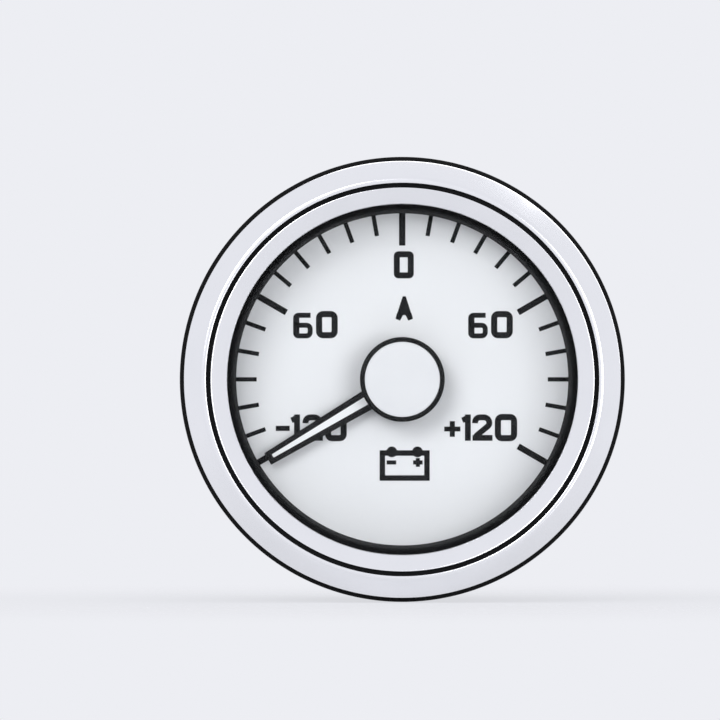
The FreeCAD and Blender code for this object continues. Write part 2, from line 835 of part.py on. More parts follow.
def main():
    """Builds every piece and writes one file for each."""
    os.makedirs("parts", exist_ok=True)
    pieces = {
        "bezel": make_bezel(),
        "panel_seal": make_panel_seal(),
        "lens": make_lens(),
        "lens_gasket": tube(insert_r + slide_in, lens_r, gasket_front, flange_front),
        "dial_ring": make_dial_ring(),
        "dial": make_dial(),
        "scale_marks": make_scale_marks(),
        "pointer": make_pointer(),
        "pointer_inlay": make_pointer_inlay(),
        "hub_cap": make_hub_cap(),
        "cap_disc": make_cap_disc(),
        "pointer_hub": make_pointer_hub(),
        "spindle": make_spindle(),
        "rotor_magnet": make_rotor_magnet(),
        "bobbin_front": make_bobbin_front(),
        "bobbin_rear": make_bobbin_rear(),
        "bobbin_pins": make_bobbin_pins(),
        "coil_inner": make_coil_inner(),
        "coil_outer": make_coil_outer(),
        "movement_shield": make_movement_shield(),
        "return_magnet": make_return_magnet(),
        "light_carrier": make_light_carrier(),
        "circuit_board": make_circuit_board(),
        "driver_chip": make_driver_chip(),
        "resistors": make_resistors(),
        "capacitor": make_capacitor(),
        "case": make_case(),
        "terminal_studs": both_sides(make_terminal_stud),
        "terminal_washers": both_sides(make_terminal_washer),
        "terminal_nuts": both_sides(make_terminal_nut),
        "blade_terminals": both_sides(make_blade_terminal),
        "lamp_holder": make_lamp_holder(),
        "lamp_bulb": make_lamp_bulb(),
        "clamp_studs": both_sides(clamp_stud_bar),
        "clamp_bracket": make_clamp_bracket(),
        "clamp_washers": both_sides(make_clamp_washer),
        "thumb_nut_left": make_thumb_nut(-1),
        "thumb_nut_right": make_thumb_nut(1),
    }
    for name, shape in pieces.items():
        if not shape.isValid():
            raise ValueError(name + " isn't a valid solid")
        shape.exportStep("parts/" + name + ".step")
        print(name, len(shape.Solids), round(shape.Volume, 2))


main()
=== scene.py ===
# A round centre-zero panel ammeter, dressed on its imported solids. Lengths are millimetres in the dictionaries
# of pieces and finishes, and metres in those of floor, lamps and camera. A function's v is such a dictionary.
import bmesh
import bpy
import math
import numpy as np
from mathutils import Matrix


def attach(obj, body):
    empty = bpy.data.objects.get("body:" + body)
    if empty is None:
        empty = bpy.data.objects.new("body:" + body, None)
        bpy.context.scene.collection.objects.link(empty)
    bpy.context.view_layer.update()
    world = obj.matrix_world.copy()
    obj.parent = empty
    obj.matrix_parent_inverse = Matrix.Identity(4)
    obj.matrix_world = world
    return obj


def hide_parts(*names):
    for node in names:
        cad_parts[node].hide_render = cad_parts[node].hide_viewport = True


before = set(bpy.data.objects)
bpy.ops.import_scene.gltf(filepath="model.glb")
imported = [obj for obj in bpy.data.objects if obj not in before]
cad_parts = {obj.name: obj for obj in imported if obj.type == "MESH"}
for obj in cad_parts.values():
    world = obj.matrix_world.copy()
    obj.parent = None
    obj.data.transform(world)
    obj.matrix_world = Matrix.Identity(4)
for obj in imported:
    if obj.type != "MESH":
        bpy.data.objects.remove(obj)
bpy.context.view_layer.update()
print("frame loaded,", len(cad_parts), "nodes")

# Tools for colours, shader nodes and meshes

metresPerMm = 0.001


# Undoes the curve of an sRGB hex value in each channel: a straight part near black, a power of 2.4 above it.
def toLinear(hexValue):
    channels = np.array([int(hexValue[i:i + 2], 16) for i in (1, 3, 5)]) / 255
    linear = np.where(channels <= 0.04045, channels / 12.92, ((channels + 0.055) / 1.055) ** 2.4)
    return (*linear.tolist(), 1.0)


# Adds one node. Settings go to the input with that name or number, or else to the node itself, and links join
# sockets. The node's own settings come first, because they can change its inputs.
def addNode(tree, kind, settings=None, links=None):
    node = tree.nodes.new(kind)
    for key, value in (settings or {}).items():
        if not isinstance(key, int) and key not in node.inputs:
            setattr(node, key, value)
    for key, value in (settings or {}).items():
        if isinstance(key, int) or key in node.inputs:
            node.inputs[key].default_value = value
    for key, socket in (links or {}).items():
        tree.links.new(socket, node.inputs[key])
    return node


# An empty material with its node tree and its output.
def blankMaterial(name):
    material = bpy.data.materials.new(name)
    material.use_nodes = True
    material.node_tree.nodes.clear()
    output = addNode(material.node_tree, "ShaderNodeOutputMaterial")
    return material, material.node_tree, output


# A noise of this feature size has this scale, because Object coordinates are in metres.
def perSize(sizeMm):
    return 1 / (sizeMm * metresPerMm)


# A path through corners (a, b, rounding). Each rounded corner becomes an arc that touches both its runs: with
# half the angle between them, the arc's centre lies rounding / sine from the corner and its ends rounding /
# tangent along the runs, and the points between turn evenly from one end to the other.
def roundedPath(corners, closed, steps=7):
    points = np.array([corner[:2] for corner in corners], float)
    stretches = []
    for i, (a, b, rounding) in enumerate(corners):
        isEnd = not closed and i in (0, len(corners) - 1)
        if rounding <= 0 or isEnd:
            stretches.append(points[i:i + 1])
            continue
        toLast = points[i - 1] - points[i]
        toNext = points[(i + 1) % len(points)] - points[i]
        toLast = toLast / np.linalg.norm(toLast)
        toNext = toNext / np.linalg.norm(toNext)
        half = math.acos(np.clip(toLast @ toNext, -1, 1)) / 2
        middle = (toLast + toNext) / np.linalg.norm(toLast + toNext)
        centre = points[i] + middle * rounding / math.sin(half)
        first = points[i] + toLast * rounding / math.tan(half) - centre
        last = points[i] + toNext * rounding / math.tan(half) - centre
        sweep = math.pi - 2 * half
        share = np.linspace(0, 1, steps)[:, None]
        turned = first * np.sin((1 - share) * sweep) + last * np.sin(share * sweep)
        stretches.append(centre + turned / math.sin(sweep))
    return np.vstack(stretches)


# Faces of a grid of points: each point with its next neighbours both ways, which may close on themselves.
def gridFaces(rows, columns, closeRows, closeColumns):
    index = np.arange(rows * columns).reshape(rows, columns)
    if closeRows:
        index = np.vstack([index, index[:1]])
    if closeColumns:
        index = np.hstack([index, index[:, :1]])
    return np.stack([index[:-1, :-1], index[:-1, 1:], index[1:, 1:], index[1:, :-1]], -1).reshape(-1, 4)


# Turns all faces round if the volume that they enclose comes out negative.
def facingOut(points, faces):
    corners = (points - points.mean(0))[faces]
    volume = 0.0
    for i in range(1, faces.shape[1] - 1):
        volume += np.einsum("ij,ij->i", corners[:, 0], np.cross(corners[:, i], corners[:, i + 1])).sum()
    return faces if volume > 0 else faces[:, ::-1]


# Profile (radius, place along the axis) turned about the line through centre: x and z are the radius times
# cosine and sine of the angle. Six segments give a hexagon. An open profile starts and ends on the axis.
def turnedShape(profile, segments, centre=(0, 0), closed=True, firstDeg=0.0):
    angle = math.radians(firstDeg) + np.arange(segments) * 2 * math.pi / segments
    radius = profile[:, 0][:, None]
    x = centre[0] + radius * np.cos(angle)
    y = profile[:, 1][:, None] + 0 * x
    z = centre[1] + radius * np.sin(angle)
    points = np.stack([x, y, z], -1).reshape(-1, 3)
    return points, facingOut(points, gridFaces(len(profile), segments, closed, True))


# Flat line along a path in the dial's plane: each point goes half the width to both sides along the bisector
# of its two runs, stretched to keep the width, and the strip has a front at one depth and a back at another.
# A pair of widths makes the line taper from its first point to its last.
def lineShape(path, width, front, back, closed):
    if isinstance(width, tuple):
        width = np.linspace(width[0], width[1], len(path))
    ahead = np.roll(path, -1, 0) - path
    ahead = ahead / np.linalg.norm(ahead, axis=1, keepdims=True)
    if not closed:
        ahead[-1] = ahead[-2]
    behind = np.roll(ahead, 1, 0)
    if not closed:
        behind[0] = ahead[0]
    sideways = ahead[:, ::-1] * np.array([-1, 1])
    bisector = sideways + behind[:, ::-1] * np.array([-1, 1])
    bisector = bisector / np.linalg.norm(bisector, axis=1, keepdims=True)
    reach = bisector * (width / 2 / np.einsum("ij,ij->i", bisector, sideways))[:, None]
    corners = []
    for side, depth in ((1, front), (1, back), (-1, back), (-1, front)):
        flat = path + side * reach
        corners.append(np.stack([flat[:, 0], np.full(len(path), depth), flat[:, 1]], -1))
    points = np.stack(corners, 1).reshape(-1, 3)
    faces = gridFaces(len(path), 4, closed, True)
    if not closed:
        last = 4 * (len(path) - 1)
        faces = np.vstack([faces, [[3, 2, 1, 0], [last, last + 1, last + 2, last + 3]]])
    return points, facingOut(points, faces)


# Right-handed screw thread as one strip wound round the stud. Along the strip the angle goes on, across it
# the radius falls from the crest to the root and rises again over one pitch. Where the strip leaves the
# stud's ends it is held on their planes. Its tip follows the chamfer, and a fan at the axis closes each end.
def threadShape(v, start, end, centre, chamfer):
    steps = v["stepsPerTurn"]
    turns = (end - start) / v["pitch"]
    across = np.array(v["across"])
    along = np.arange(-steps, math.ceil(turns * steps) + 1)[:, None] / steps
    placed = np.clip(along + across[None, :], 0, turns)
    y = start + v["pitch"] * placed
    radius = v["crestR"] - v["depth"] * np.interp(placed - along, across, v["fall"])
    radius = np.minimum(radius, v["crestR"] - chamfer + (end - y))
    angle = -2 * math.pi * along
    strip = np.stack([centre[0] + radius * np.cos(angle), y, centre[1] + radius * np.sin(angle)], -1)
    startAxis = np.broadcast_to([centre[0], start, centre[1]], (steps + 1, 3))
    endAxis = np.broadcast_to([centre[0], end, centre[1]], (steps + 1, 3))
    startFan = np.stack([startAxis, strip[:steps + 1, 0]], 1)
    endFan = np.stack([strip[-steps - 1:, -1], endAxis], 1)
    points, faces, count = [], [], 0
    for grid in (strip, startFan, endFan):
        points.append(grid.reshape(-1, 3))
        faces.append(gridFaces(grid.shape[0], grid.shape[1], False, False) + count)
        count += grid.shape[0] * grid.shape[1]
    points = np.vstack(points)
    return points, facingOut(points, np.vstack(faces))


meshValues = {"mergeMm": 0.0001, "flatDeg": 0.4, "edgeSegments": 2}


# Puts shapes (points in millimetres, faces) into one object that moves with a body. Points in one place are
# merged, and edges sharper than crispDeg stay crisp or are rounded by edgeMm. finishOf is each face's finish.
def makePiece(name, shapes, finishes, body, crispDeg=32, replaced=(), edgeMm=0.0, finishOf=0):
    v = meshValues
    vertices, faces, count = [], [], 0
    for points, corners in shapes:
        vertices.append(points)
        faces += (corners + count).tolist()
        count += len(points)
    mesh = bpy.data.meshes.new(name)
    mesh.from_pydata((np.vstack(vertices) * metresPerMm).tolist(), [], faces)
    mesh.polygons.foreach_set("material_index", np.broadcast_to(finishOf, len(faces)).astype(np.int32))
    joined = bmesh.new()
    joined.from_mesh(mesh)
    bmesh.ops.remove_doubles(joined, verts=joined.verts, dist=v["mergeMm"] * metresPerMm)
    if edgeMm:
        flat = math.radians(v["flatDeg"])
        bmesh.ops.dissolve_limit(joined, angle_limit=flat, verts=joined.verts, edges=joined.edges)
    joined.to_mesh(mesh)
    joined.free()
    for finish in finishes:
        mesh.materials.append(finish)
    mesh.shade_smooth()
    mesh.set_sharp_from_angle(angle=math.radians(crispDeg))
    piece = bpy.data.objects.new(name, mesh)
    bpy.context.scene.collection.objects.link(piece)
    if edgeMm:
        edge = piece.modifiers.new("roundedEdges", "BEVEL")
        edge.width = edgeMm * metresPerMm
        edge.segments = v["edgeSegments"]
        edge.limit_method = "ANGLE"
        edge.angle_limit = math.radians(crispDeg)
        edge.harden_normals = True
    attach(piece, body)
    if replaced:
        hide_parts(*replaced)


# The same shape as a node, with its loose triangles joined, so that round faces shade smoothly.
def smoothTwin(node, finish, body, edgeMm):
    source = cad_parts[node].data
    places = np.zeros(len(source.vertices) * 3, np.float32)
    source.vertices.foreach_get("co", places)
    corners = np.zeros(len(source.loops), np.int32)
    source.loops.foreach_get("vertex_index", corners)
    shape = (places.reshape(-1, 3).astype(float) / metresPerMm, corners.reshape(-1, 3))
    makePiece(node + "_shown", [shape], [finish], body, crispDeg=28, replaced=(node,),
              edgeMm=edgeMm)


# Finishes

noiseSpan = (0.3, 0.7)  # nearly all of a noise lies between these


# The end that most finishes share: one pattern mixes two near shades, one moves the roughness between its two
# values, and one lifts the surface.
def finishSurface(tree, output, v, settings, mixedBy, roughBy, liftedBy):
    colour = addNode(tree, "ShaderNodeMix",
                     {"data_type": "RGBA", 6: toLinear(v["colour"]), 7: toLinear(v["shade"])},
                     {0: mixedBy.outputs[0]})
    rough = addNode(tree, "ShaderNodeMapRange",
                    {"From Min": noiseSpan[0], "From Max": noiseSpan[1],
                     "To Min": v["rough"][0], "To Max": v["rough"][1]},
                    {"Value": roughBy.outputs[0]})
    bump = addNode(tree, "ShaderNodeBump", {"Strength": 1.0, "Distance": v["bumpMm"] * metresPerMm},
                   {"Height": liftedBy.outputs[0]})
    shader = addNode(tree, "ShaderNodeBsdfPrincipled", settings,
                     {"Base Color": colour.outputs[2], "Roughness": rough.outputs[0],
                      "Normal": bump.outputs[0]})
    tree.links.new(shader.outputs[0], output.inputs[0])


# Moulded, painted or coated surface: two near shades drift over the mottle, and fine grain lifts the surface.
def coatedFinish(name, v):
    material, tree, output = blankMaterial(name)
    place = addNode(tree, "ShaderNodeTexCoord")
    mottle = addNode(tree, "ShaderNodeTexNoise", {"Scale": perSize(v["mottleMm"]), "Detail": 3.0},
                     {"Vector": place.outputs["Object"]})
    grain = addNode(tree, "ShaderNodeTexNoise", {"Scale": perSize(v["grainMm"]), "Detail": 2.0},
                    {"Vector": place.outputs["Object"]})
    finishSurface(tree, output, v, {"Metallic": 0.0, "IOR": v["ior"]}, mottle, grain, grain)
    return material


# Metal whose tool marks run round the meter's axis: the distance from it feeds a noise of one dimension, so
# that each ring differs.
def turnedFinish(name, v):
    material, tree, output = blankMaterial(name)
    place = addNode(tree, "ShaderNodeTexCoord")
    flat = addNode(tree, "ShaderNodeMapping", {"Scale": (1, 0, 1)}, {"Vector": place.outputs["Object"]})
    fromAxis = addNode(tree, "ShaderNodeVectorMath", {"operation": "LENGTH"}, {0: flat.outputs[0]})
    rings = addNode(tree, "ShaderNodeTexNoise",
                    {"noise_dimensions": "1D", "Scale": perSize(v["lineMm"]), "Detail": 1.0},
                    {"W": fromAxis.outputs["Value"]})
    cloud = addNode(tree, "ShaderNodeTexNoise", {"Scale": perSize(v["mottleMm"]), "Detail": 3.0},
                    {"Vector": place.outputs["Object"]})
    finishSurface(tree, output, v, {"Metallic": 1.0}, cloud, cloud, rings)
    return material


# Plated sheet or bar: the mapping stretches a noise into long fine lines, the way the metal was drawn.
def platedFinish(name, v):
    material, tree, output = blankMaterial(name)
    place = addNode(tree, "ShaderNodeTexCoord")
    drawn = addNode(tree, "ShaderNodeMapping", {"Scale": v["drawn"]}, {"Vector": place.outputs["Object"]})
    lines = addNode(tree, "ShaderNodeTexNoise", {"Scale": perSize(v["lineMm"]), "Detail": 2.0},
                    {"Vector": drawn.outputs[0]})
    cloud = addNode(tree, "ShaderNodeTexNoise", {"Scale": perSize(v["mottleMm"]), "Detail": 4.0},
                    {"Vector": place.outputs["Object"]})
    finishSurface(tree, output, v, {"Metallic": 1.0}, cloud, cloud, lines)
    return material


# Clear glass: shadow and diffuse rays pass it unbent, so that light reaches what is behind. The faint waves
# are those of drawn glass.
def glassFinish(name, v):
    material, tree, output = blankMaterial(name)
    place = addNode(tree, "ShaderNodeTexCoord")
    waves = addNode(tree, "ShaderNodeTexNoise", {"Scale": perSize(v["waveMm"]), "Detail": 1.0},
                    {"Vector": place.outputs["Object"]})
    bump = addNode(tree, "ShaderNodeBump", {"Strength": 1.0, "Distance": v["bumpMm"] * metresPerMm},
                   {"Height": waves.outputs[0]})
    glass = addNode(tree, "ShaderNodeBsdfPrincipled",
                    {"Base Color": toLinear(v["colour"]), "IOR": v["ior"], "Transmission Weight": 1.0,
                     "Roughness": 0.0}, {"Normal": bump.outputs[0]})
    clear = addNode(tree, "ShaderNodeBsdfTransparent")
    path = addNode(tree, "ShaderNodeLightPath")
    unbent = addNode(tree, "ShaderNodeMath", {"operation": "MAXIMUM"},
                     {0: path.outputs["Is Shadow Ray"], 1: path.outputs["Is Diffuse Ray"]})
    mixed = addNode(tree, "ShaderNodeMixShader", {},
                    {0: unbent.outputs[0], 1: glass.outputs[0], 2: clear.outputs[0]})
    tree.links.new(mixed.outputs[0], output.inputs[0])
    return material


# Enamelled copper wound side by side: bands one wire wide across the winding, round on top, with painted shade
# between.
# The wave texture turns through 20 radians in one unit, so its scale is 2 pi / 20 times the wires in a metre.
def woundFinish(name, v, across):
    material, tree, output = blankMaterial(name)
    place = addNode(tree, "ShaderNodeTexCoord")
    wires = addNode(tree, "ShaderNodeTexWave",
                    {"wave_type": "BANDS", "bands_direction": across, "Distortion": 0.3,
                     "Scale": 2 * math.pi / 20 * perSize(v["wireMm"])},
                    {"Vector": place.outputs["Object"]})
    # Painted shade: the colour falls to the dark brown in the gaps between wires.
    colour = addNode(tree, "ShaderNodeMix",
                     {"data_type": "RGBA", 6: toLinear(v["shade"]), 7: toLinear(v["colour"])},
                     {0: wires.outputs[1]})
    bump = addNode(tree, "ShaderNodeBump",
                   {"Strength": 1.0, "Distance": v["wireRise"] * v["wireMm"] * metresPerMm},
                   {"Height": wires.outputs[1]})
    shader = addNode(tree, "ShaderNodeBsdfPrincipled",
                     {"Metallic": 0.8, "Roughness": v["rough"], "Coat Weight": 0.6, "Coat Roughness": 0.15},
                     {"Base Color": colour.outputs[2], "Normal": bump.outputs[0]})
    tree.links.new(shader.outputs[0], output.inputs[0])
    return material


# Bright chromium plate over turned brass: pale, mirroring with a slight haze and the lathe's faint rings.
brightChrome = turnedFinish("brightChromePlate", {
    "colour": "#F7F7FA", "shade": "#F0F1F4", "rough": (0.12, 0.18), "lineMm": 0.3, "bumpMm": 0.0012,
    "mottleMm": 6.0})
# Painted shade in the turned groove: dull black on its faces, so that the groove reads as one dark line.
grooveShadePaint = coatedFinish("paintedGrooveShade", {
    "colour": "#08090A", "shade": "#101114", "rough": (0.6, 0.75), "grainMm": 0.2, "bumpMm": 0.004,
    "mottleMm": 1.5, "ior": 1.2})
# Nitrile rubber, compression moulded: near black, dull, with a faint bloom in patches.
mouldedRubber = coatedFinish("mouldedNitrileRubber", {
    "colour": "#0A0A0B", "shade": "#131314", "rough": (0.62, 0.8), "grainMm": 0.3, "bumpMm": 0.01,
    "mottleMm": 5.0, "ior": 1.2})
# Float glass with an anti-glare coat: clear, with a fainter reflection than bare glass, hence the low IOR.
coatedGlass = glassFinish("coatedFloatGlass", {
    "colour": "#FBFDFD", "ior": 1.16, "waveMm": 12.0, "bumpMm": 0.0006})
# Blown bulb glass: thin and clear.
bulbGlass = glassFinish("blownBulbGlass", {
    "colour": "#FBFAF5", "ior": 1.45, "waveMm": 1.5, "bumpMm": 0.001})
# Polystyrene ring sprayed matt black: swallows light, so that the dial stands out.
sprayedBlack = coatedFinish("sprayedMattBlack", {
    "colour": "#08090B", "shade": "#101114", "rough": (0.72, 0.85), "grainMm": 0.15, "bumpMm": 0.005,
    "mottleMm": 3.0, "ior": 1.2})
# Glass-filled nylon moulded in a spark-eroded tool: black with an even grain that breaks up the highlights.
# The real grain of about 0.1 mm is drawn as 0.4 mm, so that it shows.
grainedNylon = coatedFinish("grainedBlackNylon", {
    "colour": "#0F1012", "shade": "#17181A", "rough": (0.46, 0.62), "grainMm": 0.4, "bumpMm": 0.05,
    "mottleMm": 7.0, "ior": 1.42})
# ABS cap, moulded in a polished tool: deep black with a half-gloss rim.
polishedAbs = coatedFinish("polishedBlackAbs", {
    "colour": "#070809", "shade": "#0D0E10", "rough": (0.32, 0.4), "grainMm": 0.5, "bumpMm": 0.001,
    "mottleMm": 4.0, "ior": 1.2})
# Stove enamel on the aluminium dial: cool white with the faintest orange peel.
stoveEnamel = coatedFinish("stovedWhiteEnamel", {
    "colour": "#EEEFF3", "shade": "#E9EAEE", "rough": (0.42, 0.52), "grainMm": 0.7, "bumpMm": 0.0015,
    "mottleMm": 9.0, "ior": 1.5})
# Screen-printed ink: dense black, flat, with a slightly uneven film. The low IOR keeps its mirror light down.
printedInk = coatedFinish("screenPrintedInk", {
    "colour": "#08090B", "shade": "#101115", "rough": (0.55, 0.7), "grainMm": 0.12, "bumpMm": 0.002,
    "mottleMm": 1.0, "ior": 1.2})
# Black lacquer on the aluminium pointer.
pointerLacquer = coatedFinish("pointerBlackLacquer", {
    "colour": "#07070A", "shade": "#0D0D10", "rough": (0.45, 0.55), "grainMm": 0.25, "bumpMm": 0.001,
    "mottleMm": 2.0, "ior": 1.2})
# White filler paint along the pointer: soft white, quite matt.
fillerPaint = coatedFinish("whiteFillerPaint", {
    "colour": "#F3F4F6", "shade": "#ECEDF0", "rough": (0.55, 0.68), "grainMm": 0.3, "bumpMm": 0.002,
    "mottleMm": 3.0, "ior": 1.4})
# The same paint brushed on the cap's disc, with painted shade: a shade greyer, because the disc lies nearest to
# the light.
shadedDiscPaint = coatedFinish("discPaintWithPaintedShade", {
    "colour": "#E3E4E8", "shade": "#DBDCE1", "rough": (0.5, 0.65), "grainMm": 0.4, "bumpMm": 0.003,
    "mottleMm": 3.0, "ior": 1.4})
# Free-cutting brass as it left the lathe: warm yellow, fine rings.
turnedBrass = turnedFinish("turnedBrass", {
    "colour": "#D9B45C", "shade": "#C9A24C", "rough": (0.2, 0.32), "lineMm": 0.12, "bumpMm": 0.002,
    "mottleMm": 2.0})
# Nickel plate on brass: slightly warm silver, bright on the thread's crests.
nickelPlate = platedFinish("nickelPlatedBrass", {
    "colour": "#D8D4C8", "shade": "#C6C1B4", "rough": (0.18, 0.3), "lineMm": 0.25, "bumpMm": 0.002,
    "mottleMm": 1.5, "drawn": (1, 1, 1)})
# Bright tin on the brass tabs: whiter and softer than nickel.
tinPlate = platedFinish("brightTinPlate", {
    "colour": "#DAD9D3", "shade": "#C9C9C5", "rough": (0.26, 0.4), "lineMm": 0.2, "bumpMm": 0.002,
    "mottleMm": 1.2, "drawn": (1, 0.08, 1)})
# Zinc plate with a clear pass on pressed steel: bluish grey, cloudy, with lines from the rolled strip.
zincPlate = platedFinish("zincPlatedSteel", {
    "colour": "#C6C9CE", "shade": "#B4B9C1", "rough": (0.27, 0.38), "lineMm": 0.3, "bumpMm": 0.004,
    "mottleMm": 1.4, "drawn": (0.06, 0.06, 1)})
# Zinc on turned nuts and washers: the same colour, with no lines to speak of.
zincBarrel = platedFinish("barrelZincPlate", {
    "colour": "#C6CACF", "shade": "#AEB4BD", "rough": (0.24, 0.38), "lineMm": 0.3, "bumpMm": 0.002,
    "mottleMm": 1.2, "drawn": (1, 1, 1)})
# Ground silver steel of the spindle.
groundSteel = platedFinish("groundSilverSteel", {
    "colour": "#C4C4C6", "shade": "#B4B5B8", "rough": (0.14, 0.2), "lineMm": 0.1, "bumpMm": 0.0008,
    "mottleMm": 1.0, "drawn": (1, 1, 1)})
# Sintered barium ferrite: charcoal grey, grainy, slightly sparkling.
sinteredFerrite = coatedFinish("sinteredFerrite", {
    "colour": "#2A2A2D", "shade": "#3A3A3E", "rough": (0.45, 0.7), "grainMm": 0.12, "bumpMm": 0.012,
    "mottleMm": 0.8, "ior": 1.9})
# Natural nylon bobbin: milky and slightly waxy.
naturalNylon = coatedFinish("naturalNylon", {
    "colour": "#E6E0CE", "shade": "#DCD5C0", "rough": (0.4, 0.5), "grainMm": 0.5, "bumpMm": 0.003,
    "mottleMm": 3.0, "ior": 1.53})
# White polycarbonate light cup: clean white with a soft gloss, to throw the lamp's light on the dial.
whiteCarbonate = coatedFinish("whitePolycarbonate", {
    "colour": "#F2F2EE", "shade": "#EAEAE5", "rough": (0.3, 0.38), "grainMm": 0.8, "bumpMm": 0.002,
    "mottleMm": 6.0, "ior": 1.58})
# Glass-epoxy board under green solder mask: the mask follows the weave and the tracks beneath.
solderMask = coatedFinish("greenSolderMask", {
    "colour": "#12532F", "shade": "#1D6A3C", "rough": (0.22, 0.34), "grainMm": 0.5, "bumpMm": 0.01,
    "mottleMm": 1.8, "ior": 1.55})
# Transfer-moulded epoxy of the chip: dull charcoal.
mouldedEpoxy = coatedFinish("mouldedChipEpoxy", {
    "colour": "#1B1B1D", "shade": "#242427", "rough": (0.6, 0.72), "grainMm": 0.15, "bumpMm": 0.008,
    "mottleMm": 1.2, "ior": 1.55})
# Cement coat on the resistors: tan, dry and slightly rough.
cementCoat = coatedFinish("resistorCementCoat", {
    "colour": "#C9B08A", "shade": "#B89C74", "rough": (0.6, 0.75), "grainMm": 0.2, "bumpMm": 0.015,
    "mottleMm": 1.2, "ior": 1.5})
# Shrunk vinyl sleeve on the capacitor's can: dark blue, half gloss.
shrunkSleeve = coatedFinish("shrunkVinylSleeve", {
    "colour": "#20283E", "shade": "#2A334C", "rough": (0.3, 0.42), "grainMm": 0.6, "bumpMm": 0.004,
    "mottleMm": 2.0, "ior": 1.54})
# Nylon lamp holder: off-white, with light flow marks.
holderNylon = coatedFinish("offWhiteHolderNylon", {
    "colour": "#DAD6C8", "shade": "#CBC6B6", "rough": (0.42, 0.55), "grainMm": 0.4, "bumpMm": 0.008,
    "mottleMm": 2.5, "ior": 1.53})
# Enamelled copper wire: orange brown, shining on each wire. Its real 0.1 mm is drawn as 0.25 mm, to show up.
copperValues = {"colour": "#B4602C", "shade": "#4E2210", "rough": 0.32, "wireMm": 0.25, "wireRise": 0.3}
copperAcrossZ = woundFinish("enamelledCopperAcrossZ", copperValues, "Z")
copperAcrossX = woundFinish("enamelledCopperAcrossX", copperValues, "X")
print("finishes made:", len(bpy.data.materials))

# Front: bezel, seal, glass, the ring round the dial, cap and pointer

bezelValues = {
    "openingR": 23.8, "openingLand": 0.7, "openingEdge": 0.3, "lensFront": -5.9, "lensSeat": 1.1,
    "grooveR": 26.35, "grooveWidth": 0.58, "grooveFloor": -7.75, "grooveEdge": 0.12, "grooveCorner": 0.1,
    "innerCrest": -8.2, "crest": -8.5, "crestLand": 0.75, "crestEdge": 0.6,
    "outerR": 29.7, "rimFront": -3.2, "shoulder": 1.6, "rimBack": -1.2, "rimEdge": 0.4,
    "lipR": 26.65, "lipFront": -1.9, "pocketR": 29.0, "pocketFront": -3.1,
    "hollowFront": -7.05, "hollowInset": 0.2, "hollowOuterEdge": 0.4, "hollowInnerEdge": 0.3,
    "shadeSpare": 0.03, "shadeBelowCrest": 0.08, "shadeUnderFloor": 0.02, "segments": 384,
}


# Turned ring: from the opening up the inner slope to the groove, over the crest, down the outer slope, round
# the lip and back through the hollow behind. Painted shade: the groove's faces, from just below its edges, are
# black.
def makeBezel(v):
    grooveIn = v["grooveR"] - v["grooveWidth"] / 2
    grooveOut = v["grooveR"] + v["grooveWidth"] / 2
    crestR = grooveOut + v["crestLand"]
    profile = roundedPath([
        (v["openingR"], v["lensFront"], 0),
        (v["openingR"], v["lensFront"] - v["openingLand"], v["openingEdge"]),
        (grooveIn, v["innerCrest"], v["grooveEdge"]),
        (grooveIn, v["grooveFloor"], v["grooveCorner"]),
        (grooveOut, v["grooveFloor"], v["grooveCorner"]),
        (grooveOut, v["crest"], v["grooveEdge"]),
        (crestR, v["crest"], v["crestEdge"]),
        (v["outerR"], v["rimFront"], v["shoulder"]),
        (v["outerR"], v["rimBack"], v["rimEdge"]),
        (v["lipR"], v["rimBack"], 0),
        (v["lipR"], v["lipFront"], 0),
        (v["pocketR"], v["lipFront"], 0),
        (v["pocketR"], v["pocketFront"], 0),
        (crestR, v["hollowFront"], v["hollowOuterEdge"]),
        (grooveIn - v["hollowInset"], v["hollowFront"], v["hollowInnerEdge"]),
        (v["openingR"] + v["lensSeat"], v["lensFront"], 0),
    ], True, steps=10)
    points, faces = turnedShape(profile, v["segments"])
    middle = points[faces].mean(1)
    # Faces in the groove take the painted shade.
    fromGroove = abs(np.hypot(middle[:, 0], middle[:, 2]) - v["grooveR"])
    grooveShadeFaces = fromGroove < v["grooveWidth"] / 2 + v["shadeSpare"]
    grooveShadeFaces &= middle[:, 1] > v["innerCrest"] + v["shadeBelowCrest"]
    grooveShadeFaces &= middle[:, 1] < v["grooveFloor"] + v["shadeUnderFloor"]
    makePiece("bezel_ring", [(points, faces)], [brightChrome, grooveShadePaint], "root",
              crispDeg=40, replaced=("bezel",), finishOf=grooveShadeFaces)


makeBezel(bezelValues)

sealValues = {"innerR": 26.65, "outerR": 30.3, "front": -1.2, "back": 0.0, "edge": 0.35, "segments": 384}


# Flat ring turned from a box profile with rounded outer corners.
def makeSeal(v):
    profile = roundedPath([
        (v["innerR"], v["front"], 0), (v["outerR"], v["front"], v["edge"]),
        (v["outerR"], v["back"], v["edge"]), (v["innerR"], v["back"], 0),
    ], True, steps=8)
    makePiece("seal_ring", [turnedShape(profile, v["segments"])], [mouldedRubber], "root",
              crispDeg=40, replaced=("panel_seal",))


makeSeal(sealValues)

lensValues = {"radius": 27.6, "front": -5.9, "back": -3.9, "groundEdge": 0.3, "segments": 256}


# Flat disc turned from a profile whose two rims are ground off at 45 degrees.
def makeLens(v):
    edge = v["groundEdge"]
    profile = np.array([
        (0, v["front"]), (v["radius"] - edge, v["front"]), (v["radius"], v["front"] + edge),
        (v["radius"], v["back"] - edge), (v["radius"] - edge, v["back"]), (0, v["back"]),
    ])
    disc = turnedShape(profile, v["segments"], closed=False)
    makePiece("lens_glass", [disc], [coatedGlass], "root", crispDeg=30, replaced=("lens",))


makeLens(lensValues)

ringValues = {"frontR": 22.99, "boreR": 22.64, "outerR": 24.35, "front": -3.9, "back": 2.0, "frontEdge": 0.3,
              "segments": 320}


